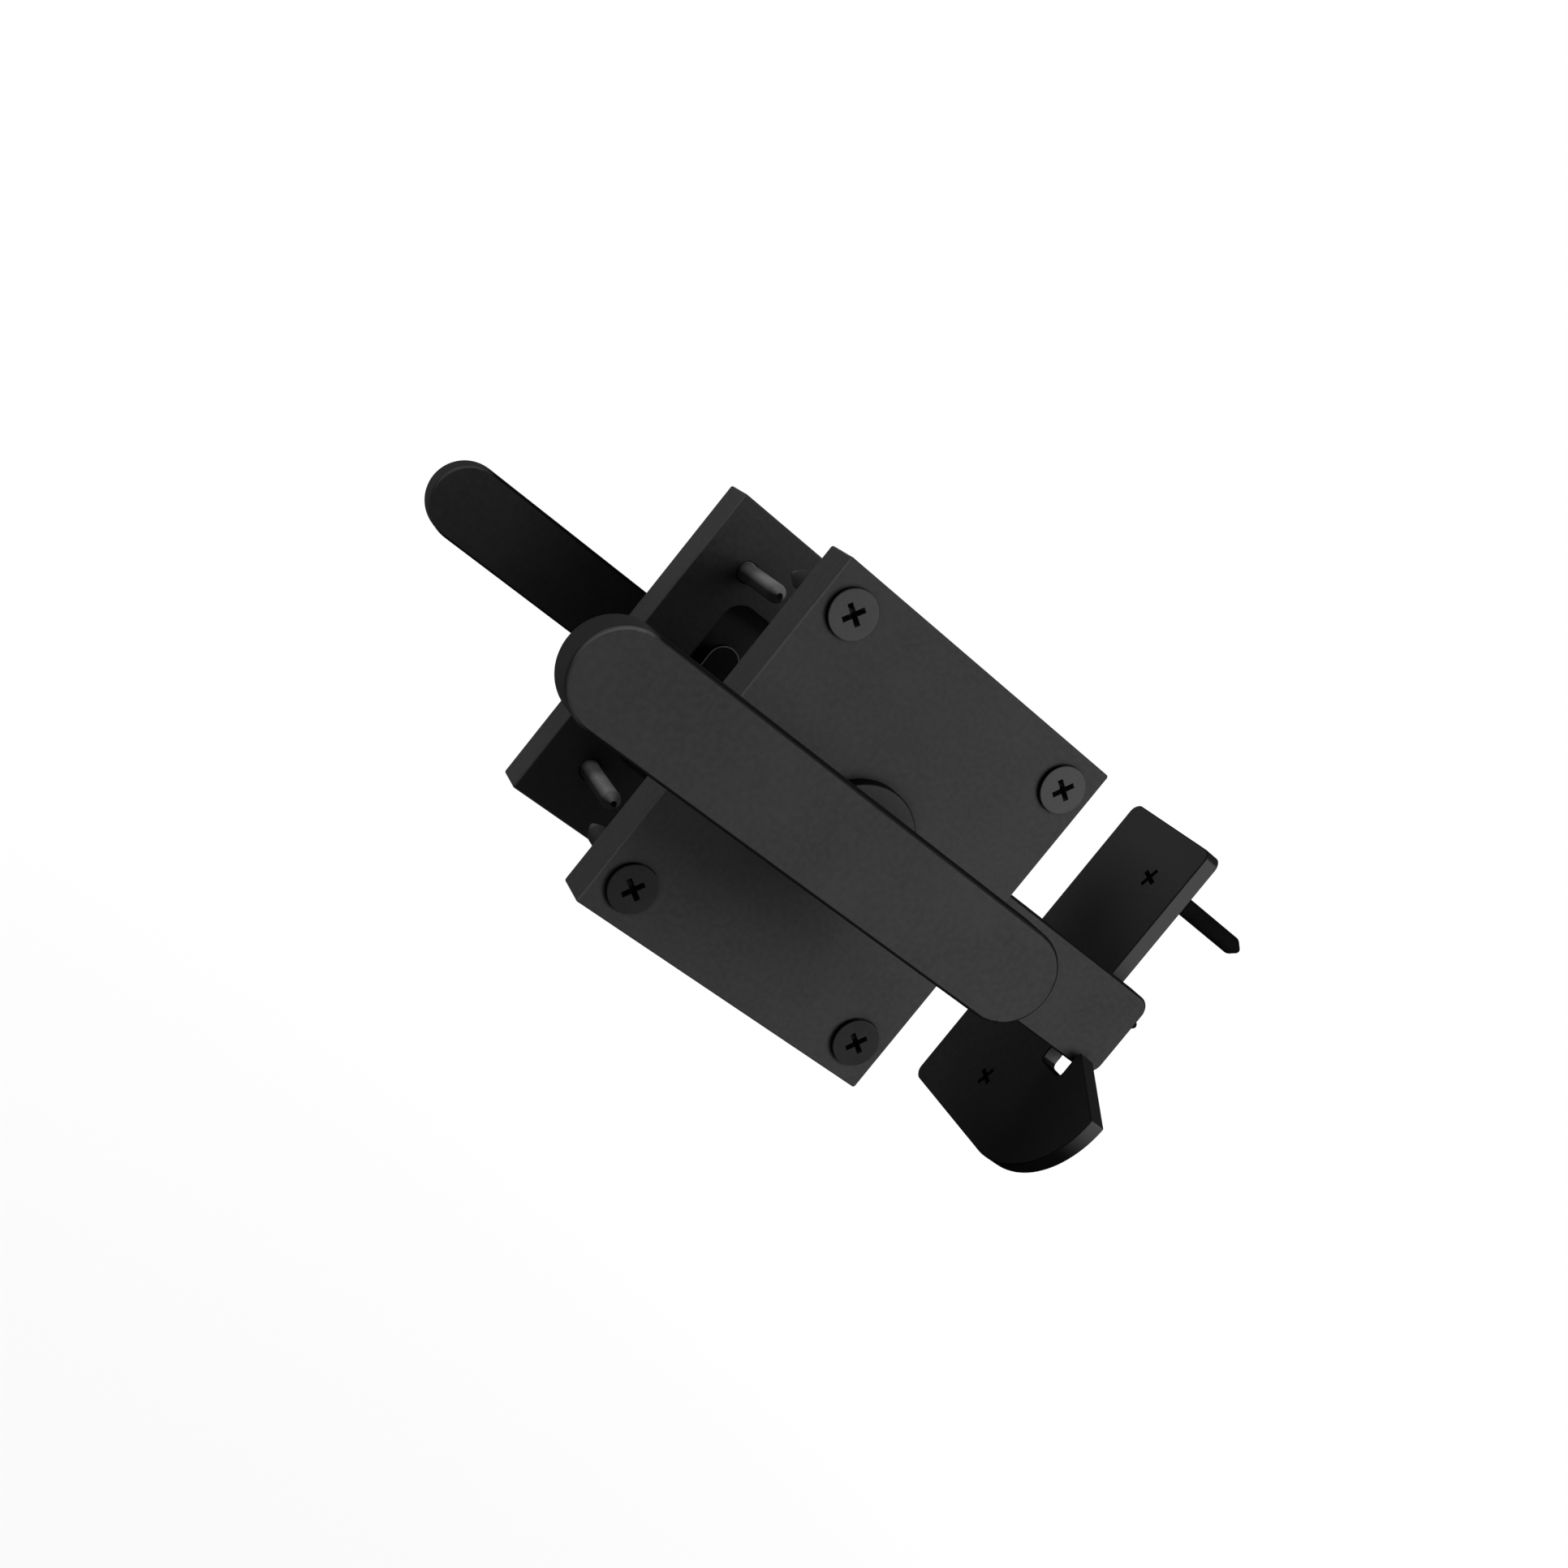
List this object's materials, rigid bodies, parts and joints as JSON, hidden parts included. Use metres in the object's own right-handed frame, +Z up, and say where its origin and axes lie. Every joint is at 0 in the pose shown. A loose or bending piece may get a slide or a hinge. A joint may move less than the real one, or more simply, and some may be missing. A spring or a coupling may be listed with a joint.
{
  "type": "two-sided lever gate latch",
  "caption": "Black gate latch worked from both sides: flat round-ended levers on square plates turn a spindle that lifts a flat bar out of a hooked strike plate.",
  "frame": {"origin": "Centre of the front plate's gate-side face, on the pivot axis", "axes": "+X from the lever's grip to the strike, +Y from the front plate through the gate to the back plate, +Z up"},
  "size_m": [0.1756, 0.1488, 0.0774],
  "materials": {
    "black_coat": "satin black powder coat over steel, very slightly mottled",
    "black_screw": "black coated steel wood screw, satin",
    "bare_steel": "plain zinc-plated steel, inside the latch"
  },
  "bodies": {
    "gate_side": {"front_plate": "black_coat", "front_plate_screws": "black_screw", "front_bush": "black_coat", "back_plate": "black_coat", "back_plate_screws": "black_screw", "rear_bush": "black_coat", "spring_pin": "bare_steel", "return_spring": "bare_steel", "strike_plate": "black_coat", "strike_screws": "black_screw"},
    "latch_lever": {"front_lever": "black_coat", "front_hub": "black_coat", "front_grub_screw": "bare_steel", "front_clip": "bare_steel", "latch_bar": "black_coat", "spindle": "bare_steel", "rear_lever": "black_coat", "rear_hub": "black_coat", "rear_grub_screw": "bare_steel", "rear_clip": "bare_steel", "spring_arm": "black_coat"}
  },
  "joints": [
    {"name": "lever_swing", "type": "hinge", "parent": "gate_side", "child": "latch_lever", "pos_m": [0, 0, 0], "axis": [0, -1, 0], "range_deg": [0, 20], "stiffness_Nm_per_rad": 0.15, "springref_deg": -51.57, "deforming": ["return_spring"]}
  ]
}
